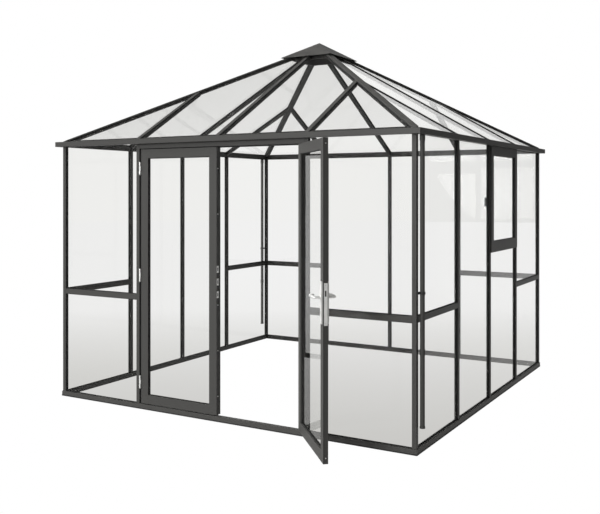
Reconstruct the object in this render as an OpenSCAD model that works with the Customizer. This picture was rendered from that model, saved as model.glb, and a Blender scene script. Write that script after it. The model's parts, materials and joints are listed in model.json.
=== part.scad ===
// Glass greenhouse with a square plan, a hipped glass roof and a double door.
// Origin: underside of the front sill, in the middle of the doorway. +X runs along the door
// wall, +Y to the back. The modules draw round the middle of the plan, and placed() moves what
// they draw to this origin.
// Walls are numbered round the plan: 0 front, 1 right, 2 back, 3 left.

/* [Building] */
// Outer width of the base, both ways
base_w = 3000; // [2900:10:3600]
// Height of the underside of the eave beams
wall_h = 1973; // [1960:1:2400]
// Slope of the roof, in degrees
roof_pitch = 29.7; // [22:0.1:35]
// Width across the faces and depth of a post
post_w = 30; // [24:1:36]
// Distance from the outer edge of the sill back to the outer faces of the posts
set_back = 5; // [0:1:7]
// Thickness of all glass panes
glass_t = 4; // [3:0.5:6]

/* [Sills, rails and beams] */
// Height of the sills
sill_h = 38; // [30:1:60]
// Depth of the sills
sill_d = 37; // [36:1:50]
// Height of the middle of the rails in the corner bays
mid_rail_z = 829; // [600:1:1000]
// Height of the rails in the corner bays
mid_rail_h = 40; // [25:1:60]
// Height of the outer face of the eave beams
eave_h = 25; // [16:1:50]
// Height of the beam over the doors
header_h = 41; // [30:1:60]

/* [Gutters and downpipes] */
// Width of the gutter
gutter_w = 42; // [38:1:60]
// Height of the outer wall of the gutter
gutter_h = 37; // [33:1:60]
// Height of the inner wall of the gutter
gutter_back_h = 19; // [12:1:19]
// Wall thickness of the gutter
gutter_t = 3; // [2:0.5:4]
// Distance of the gutter's underside below the underside of the eave beams
gutter_drop = 7; // [4:1:12]
// Outer radius of a downpipe
pipe_r = 15; // [12:0.5:16]
// Wall thickness of a downpipe
pipe_t = 2; // [1.5:0.5:3]
// Height of the lower end of a downpipe
pipe_end_z = 160; // [80:1:300]
// Distance of a downpipe from the outer side of its corner post, along the wall
pipe_in = 45; // [42:1:80]
// Height of the pipe clip
clip_z = 990; // [500:1:1500]
// Height of the clip's band
clip_h = 16; // [10:1:30]
// Thickness of the clip's band
clip_t = 4; // [3:0.5:6]
// Clearance between a downpipe and its clip
pipe_play = 0.2; // [0.1:0.1:0.5]

/* [Roof] */
// Width of the hip rafters
hip_w = 45; // [36:1:60]
// Upright depth of the hip rafters
hip_d = 41; // [38:1:60]
// Width of the other rafters
rafter_w = 30; // [24:1:40]
// Depth of the other rafters, square to the slope
rafter_d = 36; // [30:1:42]
// Thickness of the seal between the roof glass and the eave beams
roof_seal = 0.3; // [0.2:0.1:0.8]
// How far the rafters stand above the glass
rafter_up = 5; // [2:1:16]
// How far the roof glass reaches out over the gutter
drip = 10; // [5:1:20]
// Half the outer width of the crown ring
crown_half = 166; // [120:1:190]
// Wall thickness of the crown ring
crown_t = 20; // [10:1:30]
// Depth of the crown ring below the tops of the rafters at its face
crown_down = 44; // [42:1:80]
// Half the width of the cap
cap_half = 244; // [200:1:300]
// Height of the cap
cap_h = 144; // [110:1:180]
// Sheet thickness of the cap
cap_t = 5; // [3:0.5:8]
// Gap between the edge of the cap and the tops of the rafters
cap_gap = 21; // [12:1:60]

/* [Doors] */
// Width of one door leaf
leaf_w = 687; // [600:1:696]
// Thickness of a door leaf
leaf_t = 30; // [28:1:40]
// How far the leaves stand out from the faces of the posts
leaf_proud = 0; // [0:1:8]
// Width of the upright members of a leaf
stile_w = 65; // [55:1:90]
// Height of the cross members of a leaf
leaf_rail_h = 66; // [50:1:120]
// Gap between the two closed leaves
meeting_gap = 6; // [5:1:10]
// Gap between a leaf and its jamb
jamb_gap = 6; // [5:0.5:8]
// Gap above and below a leaf
leaf_gap_z = 5.5; // [5:0.5:10]
// Thickness of the jamb liner
jamb_t = 11; // [8:1:20]
// How far the jamb liner lies back from the faces of the posts
jamb_back = 12; // [10:1:16]
// Opening angle of the right leaf as stored, in degrees
leaf_open = 132.2; // [90:0.1:145]
// Depth of the cover strip inside the left leaf's meeting edge
strip_d = 17; // [10:1:30]
// Width of that cover strip
strip_w = 26; // [18:1:40]

/* [Hinges] */
// Height of a hinge
hinge_h = 90; // [70:1:120]
// Radius of the hinge knuckle
knuckle_r = 6.5; // [5:0.25:6.5]
// Distance of the hinge axis from the faces of the posts
hinge_out = 3.5; // [3:0.5:6]
// Radius of the hinge pin
pin_r = 3; // [2.5:0.25:3.5]
// Clearance round the pin and between knuckles
pin_play = 0.4; // [0.3:0.1:0.6]
// Thickness of the webs that carry the knuckles
web_t = 6; // [4:0.5:7]
// Distance of the lowest hinge's middle from the foot of the leaf
hinge_low = 156; // [100:1:250]
// Distance of the highest hinge's middle from the top of the leaf
hinge_high = 141; // [100:1:250]

/* [Lock and lever handle] */
// Height of the lever's spindle
spindle_z = 1003; // [900:1:1100]
// Distance of the spindle from the meeting edge
spindle_in = 30; // [26:1:36]
// Radius of the spindle
spindle_r = 5; // [4:0.5:6]
// Clearance round the spindle
spindle_play = 1; // [0.5:0.1:2]
// Height of the lock plates
lock_h = 246; // [200:1:300]
// Distance of the lock plates' upper end above the spindle
lock_up = 83; // [50:1:100]
// Width of the side plates
lock_w = 32; // [26:1:40]
// Thickness of the side plates
lock_t = 8; // [4:0.5:10]
// How far the side plates lie above the edge plate
lock_side_up = 8; // [0:1:20]
// Width of the edge plates on both leaves
edge_plate_w = 24; // [14:1:26]
// Depth of the recess that holds an edge plate
edge_plate_t = 2; // [1.5:0.5:3]
// Height of a strike plate
strike_h = 48; // [30:1:60]
// Distance between the middles of the strike plates
strike_pitch = 89; // [70:1:110]
// Length of the lever
lever_l = 112; // [90:1:130]
// Height and depth of the lever's bar
lever_s = 17; // [10:1:18]
// Distance of the lever's bar from the side plate
lever_off = 32; // [22:1:45]
// Radius of the lever's neck
neck_r = 10; // [8:0.5:11]

/* [Window] */
// Height of the lower edge of the sash
sash_z = 1144; // [950:1:1300]
// Height of the upper edge of the sash below the eave beams
sash_top_gap = 13; // [12:1:40]
// Width of the sash's members
sash_w = 65; // [50:1:80]
// Height of the sash's lower member
sash_low_h = 85; // [60:1:110]
// Thickness of the sash's lip outside the posts
sash_lip = 8; // [5:1:12]
// Depth of the sash between the posts
sash_d = 20; // [15:1:26]
// How far the sash laps down over the rail under it
sash_lap = 6; // [2:1:12]
// Gap between the sash and the posts
sash_gap = 3; // [2:1:6]
// Height of the rail under the sash
transom_h = 24; // [18:1:32]
// Reach of the window handle into the room
window_handle_reach = 37; // [30:1:50]

/* [Hidden] */
$fn = 48;

frame_colour = [0.20, 0.20, 0.19];
glass_colour = [0.85, 0.88, 0.88, 0.35];
metal_colour = [0.75, 0.75, 0.74];
plastic_colour = [0.05, 0.05, 0.05];

half = base_w / 2;
face = half - set_back;               // outer faces of posts and beams
inner = face - post_w;                // their inner faces
glass_out = face - (post_w - glass_t) / 2;
far = 2 * half;                       // longer than anything, for trimming shapes
eps = 0.5;                            // how far a cutting shape runs past what it cuts
film = 0.1;                           // gap between fittings and the faces they are fixed to

// Doorway, from the middle out
leaf_x0 = meeting_gap / 2;            // meeting edge
leaf_x1 = leaf_x0 + leaf_w;           // hinge edge
leaf_y0 = -face - leaf_proud;         // outer face of the leaves
leaf_y1 = leaf_y0 + leaf_t;           // their inner face
leaf_mid = (leaf_y0 + leaf_y1) / 2;   // middle of their thickness
jamb_x = leaf_x1 + jamb_gap;          // face of the jamb liner
edge = jamb_x + jamb_t;               // near side of the door posts
bay = edge + post_w / 2;              // middle of the door posts, and of the posts of all walls
hinge_x = (leaf_x1 + edge) / 2;
hinge_y = -face - hinge_out;
header_z = wall_h - header_h;
leaf_z0 = sill_h + leaf_gap_z;
leaf_z1 = header_z - leaf_gap_z;
hinge_low_z = leaf_z0 + hinge_low;
hinge_high_z = leaf_z1 - hinge_high;
hinge_zs = [hinge_low_z, (hinge_low_z + hinge_high_z) / 2, hinge_high_z];

// Roof: its top plane stands on the eave beams' sloped tops
slope = tan(roof_pitch);
seat_z = wall_h + eave_h;             // outer top edge of the eave beams
roof_lift = (rafter_up + glass_t + roof_seal) / cos(roof_pitch);
function roof_z(r) = seat_z + roof_lift + (face - r) * slope;
hip_side = hip_w / 2 * sqrt(2);       // hip's side, measured along the eave from the hip line
crown_z = roof_z(crown_half) - crown_down;
tip_z = roof_z(cap_half) + cap_gap + cap_h;
cap_slope = cap_h / cap_half;
cap_drop = cap_t * sqrt(1 + cap_slope * cap_slope);

gutter_z = wall_h - gutter_drop;
pipe_x = face + gutter_w / 2;
pipe_y = face - pipe_in;

sash_z1 = wall_h - sash_top_gap;
sash_mid = -face + (sash_d - sash_lip) / 2;
transom_z = sash_z + sash_lap;

lock_z = spindle_z + lock_up - lock_h;
strike_zs = [for (n = [0:2]) lock_z + lock_h / 2 + 15 + (n - 1) * strike_pitch];
spindle_x = leaf_x0 + spindle_in;

module box(x0, x1, y0, y1, z0, z1) {
    translate([x0, y0, z0]) cube([x1 - x0, y1 - y0, z1 - z0]);
}

// Moves what is drawn round the middle of the plan to the origin, on the front sill
module placed() {
    translate([0, half - sill_d / 2, 0]) children();
}

// Turns a piece of the front wall to wall k
module on_wall(k) {
    rotate([0, 0, 90 * k]) children();
}

// Keeps the quarter of the plan that belongs to the front wall, cut at the mitres
module mitred() {
    intersection() {
        children();
        linear_extrude(far) polygon([[0, 0], [-far, -far], [far, -far]]);
    }
}

// Runs a section, drawn as [distance from the middle, height], along the front wall
module along_wall(x0, x1) {
    translate([x0, 0, 0]) rotate([90, 0, 90]) linear_extrude(x1 - x0)
        mirror([1, 0]) children();
}

module sill() {
    mitred() box(-half, half, -half, -half + sill_d, 0, sill_h);
}

module wall_post(x, z0, z1) {
    box(x - post_w / 2, x + post_w / 2, -face, -inner, z0, z1);
}

module eave_beam() {
    mitred() along_wall(-face, face)
        polygon([[face, wall_h], [face, seat_z], [inner, seat_z + post_w * slope], [inner, wall_h]]);
}

module gutter() {
    lip = face + gutter_w;
    mitred() along_wall(-lip, lip) polygon([[face, gutter_z], [lip, gutter_z],
        [lip, gutter_z + gutter_h], [lip - gutter_t, gutter_z + gutter_h],
        [lip - gutter_t, gutter_z + gutter_t], [face + gutter_t, gutter_z + gutter_t],
        [face + gutter_t, gutter_z + gutter_back_h], [face, gutter_z + gutter_back_h]]);
}

// The outlet holes are cut at the downpipes, which stand at two opposite corners
module downpipe_places() {
    for (k = [0, 2]) on_wall(k) translate([pipe_x, -pipe_y, 0]) children();
}

// A layer of the front roof slope, between two depths under its top plane
module roof_layer(low, high, r0, r1, x0, x1) {
    v0 = low / cos(roof_pitch);
    v1 = high / cos(roof_pitch);
    along_wall(x0, x1) polygon([[r0, roof_z(r0) - v0], [r1, roof_z(r1) - v0],
        [r1, roof_z(r1) - v1], [r0, roof_z(r0) - v1]]);
}

// Plan of the front slope between the sides of its two hips
module between_hips(r0, r1) {
    translate([0, 0, wall_h - eps]) linear_extrude(far)
        polygon([[-(r0 - hip_side), -r0], [r0 - hip_side, -r0],
            [r1 - hip_side, -r1], [-(r1 - hip_side), -r1]]);
}

module rafter(x, r0) {
    difference() {
        roof_layer(rafter_d, 0, r0, face, x - rafter_w / 2, x + rafter_w / 2);
        eave_beam();
        box(-half, half, -half, half, 0, wall_h);
    }
}

module jack_rafter(x) {
    intersection() {
        rafter(x, bay - rafter_w);
        between_hips(bay - rafter_w, face);
    }
}

module hip_rafter() {
    near = crown_half;
    difference() {
        intersection() {
            rotate([0, 0, -45]) rotate([90, 0, 0]) translate([0, 0, -hip_w / 2])
                linear_extrude(hip_w) polygon([[near, roof_z(near / sqrt(2)) - hip_d],
                    [face * sqrt(2), roof_z(face) - hip_d], [face * sqrt(2), roof_z(face)],
                    [near, roof_z(near / sqrt(2))]]);
            box(0, face, -face, 0, wall_h, far);
        }
        eave_beam();
        on_wall(1) eave_beam();
        box(-crown_half, crown_half, -crown_half, crown_half, 0, far);
    }
}

// Square pyramid with the cap's slope, from its tip and the half width of its foot
module pyramid(tip_z, half_w) {
    foot_z = tip_z - half_w * cap_slope;
    intersection() {
        along_wall(-half_w, half_w) polygon([[half_w, foot_z], [0, tip_z], [-half_w, foot_z]]);
        on_wall(1) along_wall(-half_w, half_w)
            polygon([[half_w, foot_z], [0, tip_z], [-half_w, foot_z]]);
    }
}

module wall_pane(x0, x1, z0, z1) {
    box(x0, x1, -glass_out, -glass_out + glass_t, z0, z1);
}

module corner_bay_panes(sign) {
    x0 = sign > 0 ? edge + post_w : -inner;
    x1 = sign > 0 ? inner : -(edge + post_w);
    wall_pane(x0, x1, sill_h, mid_rail_z - mid_rail_h / 2);
    wall_pane(x0, x1, mid_rail_z + mid_rail_h / 2, wall_h);
}

module closed_wall_panes() {
    corner_bay_panes(-1);
    wall_pane(-edge, -post_w / 2, sill_h, wall_h);
    wall_pane(post_w / 2, edge, sill_h, wall_h);
    corner_bay_panes(1);
}

module roof_panes() {
    low = rafter_up + glass_t;
    side = rafter_w / 2;
    for (s = [0, 1]) mirror([s, 0, 0]) {
        intersection() {
            roof_layer(low, rafter_up, crown_half, face + drip, side, bay - side);
            between_hips(crown_half, face + drip);
        }
        intersection() {
            roof_layer(low, rafter_up, bay, face + drip, bay + side, face + drip);
            between_hips(bay, face + drip);
        }
    }
}

// Pieces of a leaf are drawn for the right leaf, closed, and mirrored for the left one
module leaf_stiles() {
    difference() {
        union() {
            box(leaf_x0, leaf_x0 + stile_w, leaf_y0, leaf_y1, leaf_z0, leaf_z1);
            box(leaf_x1 - stile_w, leaf_x1, leaf_y0, leaf_y1, leaf_z0, leaf_z1);
        }
        children();
    }
}

module leaf_rails() {
    for (z = [leaf_z0, leaf_z1 - leaf_rail_h])
        box(leaf_x0 + stile_w, leaf_x1 - stile_w, leaf_y0, leaf_y1, z, z + leaf_rail_h);
}

module leaf_pane() {
    box(leaf_x0 + stile_w, leaf_x1 - stile_w, leaf_mid - glass_t / 2, leaf_mid + glass_t / 2,
        leaf_z0 + leaf_rail_h, leaf_z1 - leaf_rail_h);
}

// Plate let into a leaf's meeting edge
module edge_plate(z0, z1) {
    box(leaf_x0, leaf_x0 + edge_plate_t, leaf_mid - edge_plate_w / 2,
        leaf_mid + edge_plate_w / 2, z0, z1);
}

module strike_plates() {
    for (z = strike_zs) edge_plate(z - strike_h / 2, z + strike_h / 2);
}

module spindle_hole() {
    translate([spindle_x, -face - far / 2, spindle_z])
        rotate([-90, 0, 0]) cylinder(r = spindle_r + spindle_play, h = far);
}

// Swings a piece of the right leaf out to its stored place
module swung() {
    translate([hinge_x, hinge_y, 0]) rotate([0, 0, leaf_open]) translate([-hinge_x, -hinge_y, 0])
        children();
}

module mirrored() {
    mirror([1, 0, 0]) children();
}

// Half of a hinge on the jamb: two end knuckles with the pin, and webs to the jamb liner
module jamb_hinge() {
    third = hinge_h / 3;
    liner_y = -face + jamb_back - film;
    translate([hinge_x, hinge_y, -hinge_h / 2]) {
        cylinder(r = pin_r, h = hinge_h);
        for (z = [0, 2 * third]) translate([0, 0, z]) {
            cylinder(r = knuckle_r, h = third);
            cube([web_t, liner_y - hinge_y, third]);
        }
    }
}

// Half of a hinge on the leaf: the middle knuckle and a web to the leaf's hinge edge
module leaf_hinge() {
    knuckle = hinge_h / 3 - 2 * pin_play;
    reach = hinge_x - leaf_x1 - film;
    translate([hinge_x, hinge_y, -knuckle / 2]) difference() {
        union() {
            cylinder(r = knuckle_r, h = knuckle);
            translate([-reach, -web_t / 2, 0]) cube([reach, web_t, knuckle]);
        }
        translate([0, 0, -eps]) cylinder(r = pin_r + pin_play, h = knuckle + 2 * eps);
    }
}

module at_hinges() {
    for (z = hinge_zs) translate([0, 0, z]) children();
}

module front_back_sills() {
    color(frame_colour) for (k = [0, 2]) on_wall(k) sill();
}

module side_sills() {
    color(frame_colour) for (k = [1, 3]) on_wall(k) sill();
}

module corner_posts() {
    middle = face - post_w / 2;
    color(frame_colour) for (k = [0:3]) on_wall(k) wall_post(middle, sill_h, wall_h);
}

module wall_posts() {
    color(frame_colour) for (k = [1:3]) on_wall(k)
        for (x = [-bay, 0, bay]) wall_post(x, sill_h, wall_h);
}

module door_posts() {
    color(frame_colour) for (x = [-bay, bay]) wall_post(x, sill_h, wall_h);
}

module door_jambs() {
    color(frame_colour) for (s = [0, 1]) mirror([s, 0, 0])
        box(jamb_x, edge, -face + jamb_back, -inner, sill_h, header_z);
}

module door_header() {
    color(frame_colour) box(-edge, edge, -face, -inner, header_z, wall_h);
}

module mid_rails() {
    color(frame_colour) for (k = [0:3]) on_wall(k) for (s = [0, 1]) mirror([s, 0, 0])
        box(edge + post_w, inner, -face, -inner,
            mid_rail_z - mid_rail_h / 2, mid_rail_z + mid_rail_h / 2);
}

module front_back_eave_beams() {
    color(frame_colour) for (k = [0, 2]) on_wall(k) eave_beam();
}

module side_eave_beams() {
    color(frame_colour) for (k = [1, 3]) on_wall(k) eave_beam();
}

module front_back_gutters() {
    color(frame_colour) for (k = [0, 2]) on_wall(k) gutter();
}

module side_gutters() {
    color(frame_colour) difference() {
        for (k = [1, 3]) on_wall(k) gutter();
        downpipe_places() translate([0, 0, gutter_z - eps])
            cylinder(r = pipe_r - pipe_t, h = gutter_t + 2 * eps);
    }
}

module downpipes() {
    color(frame_colour) downpipe_places() difference() {
        translate([0, 0, pipe_end_z]) cylinder(r = pipe_r, h = gutter_z - pipe_end_z);
        translate([0, 0, pipe_end_z - eps])
            cylinder(r = pipe_r - pipe_t, h = gutter_z - pipe_end_z + 2 * eps);
    }
}

module pipe_clips() {
    reach = pipe_x - face;
    color(plastic_colour) downpipe_places() translate([0, 0, clip_z - clip_h / 2]) difference() {
        union() {
            cylinder(r = pipe_r + clip_t, h = clip_h);
            translate([-reach, -pipe_in + 4, 0])
                cube([reach - pipe_r - pipe_play, pipe_in, clip_h]);
        }
        translate([0, 0, -eps]) cylinder(r = pipe_r + pipe_play, h = clip_h + 2 * eps);
        translate([-reach - pipe_r, -pipe_in, -eps]) cube([pipe_r, 2 * pipe_in, clip_h + 2 * eps]);
    }
}

module hip_rafters() {
    color(frame_colour) for (k = [0:3]) on_wall(k) hip_rafter();
}

module centre_rafters() {
    color(frame_colour) for (k = [0:3]) on_wall(k) rafter(0, crown_half);
}

module jack_rafters() {
    color(frame_colour) for (k = [0:3]) on_wall(k) for (x = [-bay, bay]) jack_rafter(x);
}

module crown_ring() {
    hole = crown_half - crown_t;
    color(frame_colour) intersection() {
        difference() {
            box(-crown_half, crown_half, -crown_half, crown_half, crown_z, tip_z);
            box(-hole, hole, -hole, hole, crown_z - eps, tip_z + eps);
        }
        pyramid(tip_z - cap_drop - film, 2 * cap_half);
    }
}

module roof_cap() {
    color(frame_colour) difference() {
        pyramid(tip_z, cap_half);
        pyramid(tip_z - cap_drop, cap_half);
    }
}

module front_wall_glass() {
    color(glass_colour) for (s = [-1, 1]) corner_bay_panes(s);
}

module right_wall_glass() {
    color(glass_colour) on_wall(1) {
        corner_bay_panes(-1);
        wall_pane(-edge, -post_w / 2, sill_h, wall_h);
        wall_pane(post_w / 2, edge, sill_h, transom_z);
        corner_bay_panes(1);
    }
}

module back_wall_glass() {
    color(glass_colour) on_wall(2) closed_wall_panes();
}

module left_wall_glass() {
    color(glass_colour) on_wall(3) closed_wall_panes();
}

module front_roof_glass() {
    color(glass_colour) roof_panes();
}

module right_roof_glass() {
    color(glass_colour) on_wall(1) roof_panes();
}

module back_roof_glass() {
    color(glass_colour) on_wall(2) roof_panes();
}

module left_roof_glass() {
    color(glass_colour) on_wall(3) roof_panes();
}

module window_transom() {
    color(frame_colour) on_wall(1)
        box(post_w / 2, edge, -face, -inner, transom_z, transom_z + transom_h);
}

// One upright of the sash: a lip outside the posts and a body between them
module sash_stile(x0, x1, body0, body1) {
    box(x0, x1, -face - sash_lip, -face, sash_z, sash_z1);
    box(body0, body1, -face, -face + sash_d, transom_z + transom_h + sash_gap, sash_z1);
}

module window_sash() {
    near = post_w / 2 + sash_gap;
    low = transom_z + transom_h + sash_gap;
    color(frame_colour) on_wall(1) {
        sash_stile(2, sash_w, near, sash_w);
        sash_stile(bay - sash_w, bay - 2, bay - sash_w, bay - near);
        box(sash_w, bay - sash_w, -face - sash_lip, -face, sash_z, sash_z + sash_low_h);
        box(sash_w, bay - sash_w, -face, -face + sash_d, low, sash_z + sash_low_h);
        box(sash_w, bay - sash_w, -face - sash_lip, -face + sash_d, sash_z1 - sash_w, sash_z1);
    }
}

module window_glass() {
    color(glass_colour) on_wall(1)
        box(sash_w, bay - sash_w, sash_mid - glass_t / 2, sash_mid + glass_t / 2,
            sash_z + sash_low_h, sash_z1 - sash_w);
}

module window_handle() {
    x = sash_w / 2;
    y = -face + sash_d;
    z = (sash_z + sash_z1) / 2;
    color(plastic_colour) on_wall(1) {
        box(x - 12, x + 12, y, y + 7, z - 30, z + 30);
        translate([x, y, z]) rotate([-90, 0, 0]) cylinder(r = 8, h = window_handle_reach - 5);
        box(x - 9, x + 9, y + window_handle_reach - 10, y + window_handle_reach, z - 54, z + 16);
    }
}

module left_leaf_stiles() {
    color(frame_colour) mirrored() leaf_stiles() strike_plates();
}

module left_leaf_rails() {
    color(frame_colour) mirrored() leaf_rails();
}

module left_leaf_glass() {
    color(glass_colour) mirrored() leaf_pane();
}

module left_leaf_strip() {
    color(frame_colour) mirrored()
        box(leaf_x0, leaf_x0 + strip_w, leaf_y1, leaf_y1 + strip_d, leaf_z0, leaf_z1);
}

module left_leaf_strikes() {
    color(metal_colour) mirrored() strike_plates();
}

module right_leaf_stiles() {
    color(frame_colour) swung() leaf_stiles() {
        edge_plate(lock_z, lock_z + lock_h);
        spindle_hole();
    }
}

module right_leaf_rails() {
    color(frame_colour) swung() leaf_rails();
}

module right_leaf_glass() {
    color(glass_colour) swung() leaf_pane();
}

module right_leaf_lock() {
    color(metal_colour) swung() difference() {
        union() {
            edge_plate(lock_z, lock_z + lock_h);
            for (y = [leaf_y0 - film - lock_t, leaf_y1 + film])
                box(spindle_x - lock_w / 2, spindle_x + lock_w / 2, y, y + lock_t,
                    lock_z + lock_side_up, lock_z + lock_side_up + lock_h);
        }
        spindle_hole();
    }
}

module jamb_hinges() {
    color(metal_colour) for (s = [0, 1]) mirror([s, 0, 0]) at_hinges() jamb_hinge();
}

module left_leaf_hinges() {
    color(metal_colour) mirrored() at_hinges() leaf_hinge();
}

module right_leaf_hinges() {
    color(metal_colour) swung() at_hinges() leaf_hinge();
}

// One lever, from its neck's root: it runs towards the hinges and turns back to the leaf
module lever() {
    back = lever_off - 1 - 8;
    rotate([-90, 0, 0]) cylinder(r = neck_r, h = lever_off - 1);
    translate([0, lever_off - 1, -lever_s / 2]) cube([lever_l, lever_s, lever_s]);
    translate([0, lever_off - 1, 0]) rotate([-90, 0, 0]) cylinder(r = neck_r, h = lever_s);
    translate([lever_l - lever_s, lever_off - 1 - back, -lever_s / 2]) cube([lever_s, back, lever_s]);
}

module lever_handle() {
    out = leaf_t / 2 + lock_t + 1;
    color(metal_colour) swung() translate([spindle_x, leaf_mid, spindle_z]) {
        translate([0, -out, 0]) rotate([-90, 0, 0]) cylinder(r = spindle_r, h = 2 * out);
        translate([0, out, 0]) lever();
        mirror([0, 1, 0]) translate([0, out, 0]) lever();
    }
}

placed() front_back_sills();
placed() side_sills();
placed() corner_posts();
placed() wall_posts();
placed() door_posts();
placed() door_jambs();
placed() door_header();
placed() mid_rails();
placed() front_back_eave_beams();
placed() side_eave_beams();
placed() front_back_gutters();
placed() side_gutters();
placed() downpipes();
placed() pipe_clips();
placed() hip_rafters();
placed() centre_rafters();
placed() jack_rafters();
placed() crown_ring();
placed() roof_cap();
placed() front_wall_glass();
placed() right_wall_glass();
placed() back_wall_glass();
placed() left_wall_glass();
placed() front_roof_glass();
placed() right_roof_glass();
placed() back_roof_glass();
placed() left_roof_glass();
placed() window_transom();
placed() window_sash();
placed() window_glass();
placed() window_handle();
placed() left_leaf_stiles();
placed() left_leaf_rails();
placed() left_leaf_glass();
placed() left_leaf_strip();
placed() left_leaf_strikes();
placed() right_leaf_stiles();
placed() right_leaf_rails();
placed() right_leaf_glass();
placed() right_leaf_lock();
placed() jamb_hinges();
placed() left_leaf_hinges();
placed() right_leaf_hinges();
placed() lever_handle();
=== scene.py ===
"""Glass greenhouse with a pyramid roof: finishes, glazing beads, fittings and studio."""
import json
import math

import bmesh
import bpy
from bpy.props import FloatProperty, FloatVectorProperty, IntProperty, PointerProperty
from mathutils import Matrix, Vector


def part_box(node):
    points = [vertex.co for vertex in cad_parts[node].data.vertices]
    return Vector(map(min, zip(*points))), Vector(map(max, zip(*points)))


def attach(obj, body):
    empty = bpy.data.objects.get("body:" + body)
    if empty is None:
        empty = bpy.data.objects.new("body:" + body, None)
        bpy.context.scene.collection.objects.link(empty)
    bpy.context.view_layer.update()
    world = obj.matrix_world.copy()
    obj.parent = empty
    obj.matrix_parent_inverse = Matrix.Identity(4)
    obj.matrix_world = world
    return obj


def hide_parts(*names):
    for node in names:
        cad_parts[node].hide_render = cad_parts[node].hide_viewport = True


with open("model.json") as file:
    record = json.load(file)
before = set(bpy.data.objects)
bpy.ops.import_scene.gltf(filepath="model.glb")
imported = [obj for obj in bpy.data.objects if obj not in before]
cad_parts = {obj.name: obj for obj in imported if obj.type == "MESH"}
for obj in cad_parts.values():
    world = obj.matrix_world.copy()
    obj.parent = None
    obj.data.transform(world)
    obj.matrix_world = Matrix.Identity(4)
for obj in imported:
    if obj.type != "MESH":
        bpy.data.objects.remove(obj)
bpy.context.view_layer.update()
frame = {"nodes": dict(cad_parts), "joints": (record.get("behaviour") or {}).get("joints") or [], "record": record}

bl_info = {
    "name": "Glass Greenhouse",
    "version": (1, 0, 0),
    "blender": (4, 5, 0),
    "location": "View3D > Sidebar > Greenhouse",
    "description": "Finishes and fittings of an aluminium greenhouse with double doors",
    "category": "Add Mesh",
}

NODES = frame["nodes"]
JOINTS = {joint["name"]: joint for joint in frame["joints"]}
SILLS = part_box("front_back_sills")
MIDDLE = Vector(((SILLS[0].x + SILLS[1].x) / 2, (SILLS[0].y + SILLS[1].y) / 2, 0))


# ---------------------------------------------------------------- settings

class CoatSettings(bpy.types.PropertyGroup):
    """Powder coat of the aluminium profiles"""
    colour: FloatVectorProperty(
        name="Coat colour", description="Colour of the powder coat", subtype="COLOR",
        size=3, min=0, max=1, default=(0.056, 0.055, 0.052))
    roughness: FloatProperty(
        name="Roughness", description="Mean roughness of the coat", subtype="FACTOR",
        min=0, max=1, default=0.5)
    grain: FloatProperty(
        name="Grain size", description="Size of the coat's orange-peel bumps",
        subtype="DISTANCE", unit="LENGTH", min=0.0005, max=0.01, default=0.0022)
    edge: FloatProperty(
        name="Edge radius", description="Radius of the profiles' edges",
        subtype="DISTANCE", unit="LENGTH", min=0.0002, max=0.003, default=0.0012)


class GlassSettings(bpy.types.PropertyGroup):
    """Toughened panes and their seals"""
    tint: FloatVectorProperty(
        name="Glass tint", description="Colour of the clear glass", subtype="COLOR",
        size=3, min=0, max=1, default=(0.975, 0.975, 0.97))
    # Painted reflection: the glass is tinted darker near the ground to stand for the darker ground it mirrors, not
    # for splashes.
    haze: FloatVectorProperty(
        name="Haze tint", description="Colour of the glass near the ground, where it is splashed",
        subtype="COLOR", size=3, min=0, max=1, default=(0.95, 0.95, 0.94))
    # Height up to which the painted ground reflection darkens the glass.
    haze_height: FloatProperty(
        name="Haze height", description="Height above the ground at which the haze ends",
        subtype="DISTANCE", unit="LENGTH", min=0.1, max=2, default=0.7)
    gloss: FloatProperty(
        name="Refraction", description="Index that sets how strongly the panes mirror",
        min=1.01, max=1.6, default=1.15)
    bead: FloatProperty(
        name="Bead radius", description="Radius of the seal round each pane",
        subtype="DISTANCE", unit="LENGTH", min=0.001, max=0.006, default=0.003)


class FittingSettings(bpy.types.PropertyGroup):
    """Steel, plastic and screws"""
    steel: FloatVectorProperty(
        name="Steel colour", description="Colour of the hinges and the lock", subtype="COLOR",
        size=3, min=0, max=1, default=(0.9, 0.9, 0.885))
    plastic: FloatVectorProperty(
        name="Plastic colour", description="Colour of clips, seals and the window handle",
        subtype="COLOR", size=3, min=0, max=1, default=(0.012, 0.012, 0.012))
    screw: FloatProperty(
        name="Screw head radius", description="Radius of the screw heads",
        subtype="DISTANCE", unit="LENGTH", min=0.002, max=0.008, default=0.0045)
    straps: IntProperty(
        name="Gutter straps", description="Straps across each gutter", min=2, max=12, default=6)


class StageSettings(bpy.types.PropertyGroup):
    """Floor, light and camera"""
    eye: FloatVectorProperty(
        name="Eye", description="Place of the camera", subtype="TRANSLATION", unit="LENGTH",
        size=3, default=(3.4125, -4.7414, 1.6134))
    heading: FloatProperty(
        name="Heading", description="Turn of the camera from the +Y direction",
        subtype="ANGLE", unit="ROTATION", default=math.radians(30.0866))
    lens: FloatProperty(
        name="Lens", description="Focal length on a 36 mm wide sensor, in millimetres",
        unit="CAMERA", min=20, max=200, default=49.65)
    rise: FloatProperty(
        name="Vertical shift", description="Shift of the lens, in sensor widths",
        min=-0.5, max=0.5, default=-0.109)
    floor: FloatProperty(
        name="Floor radius", description="Radius of the studio floor", subtype="DISTANCE",
        unit="LENGTH", min=5, max=100, default=40)
    key: FloatProperty(
        name="Key light", description="Strength of the large soft light", min=0, max=5,
        default=1.35)
    overhead: FloatProperty(
        name="Overhead air", description="Strength of the studio overhead in mirrored light",
        subtype="FACTOR", min=0, max=1, default=0.08)
    skylight: FloatProperty(
        name="Skylight", description="Strength of the soft light from above", min=0, max=8,
        default=5.0)
    indoors: FloatProperty(
        name="Indoor light", description="Share of the soft light that reaches indoors",
        subtype="FACTOR", min=0, max=1, default=0.25)


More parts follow.
